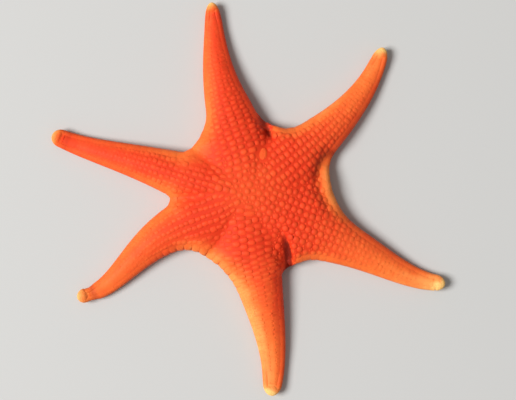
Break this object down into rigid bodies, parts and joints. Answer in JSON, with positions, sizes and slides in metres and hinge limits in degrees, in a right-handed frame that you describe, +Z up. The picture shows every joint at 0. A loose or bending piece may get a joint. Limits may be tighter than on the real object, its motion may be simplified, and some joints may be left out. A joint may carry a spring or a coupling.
{
  "type": "sea star",
  "caption": "Life-size still model of a live starfish lying flat, with a low domed disc, six tapering arms and tips turned up.",
  "frame": {"origin": "on the floor, under the middle of the animal's outline seen from above", "axes": "+Z up from the oral side to the back; +Y towards the arm that points furthest back, about 10 degrees off it; +X to the right seen from above"},
  "size_m": [0.1566, 0.1566, 0.0132],
  "materials": {
    "skin": "moist vermilion skin between the plates",
    "back_plates": "finely granular vermilion plates, satin",
    "edge_plates": "granular pale orange plates, satin",
    "tip_plates": "smooth yellow-orange end plates, satin",
    "sieve_plate": "finely furrowed orange plate, matt",
    "tube_feet": "soft translucent pale orange feet"
  },
  "bodies": {
    "root": {"central_disc": "skin", "arm_1": "skin", "arm_2": "skin", "arm_3": "skin", "arm_4": "skin", "arm_5": "skin", "arm_6": "skin", "arm_tip_1": "tip_plates", "arm_tip_2": "tip_plates", "arm_tip_3": "tip_plates", "arm_tip_4": "tip_plates", "arm_tip_5": "tip_plates", "arm_tip_6": "tip_plates", "madreporite": "sieve_plate"}
  },
  "joints": []
}
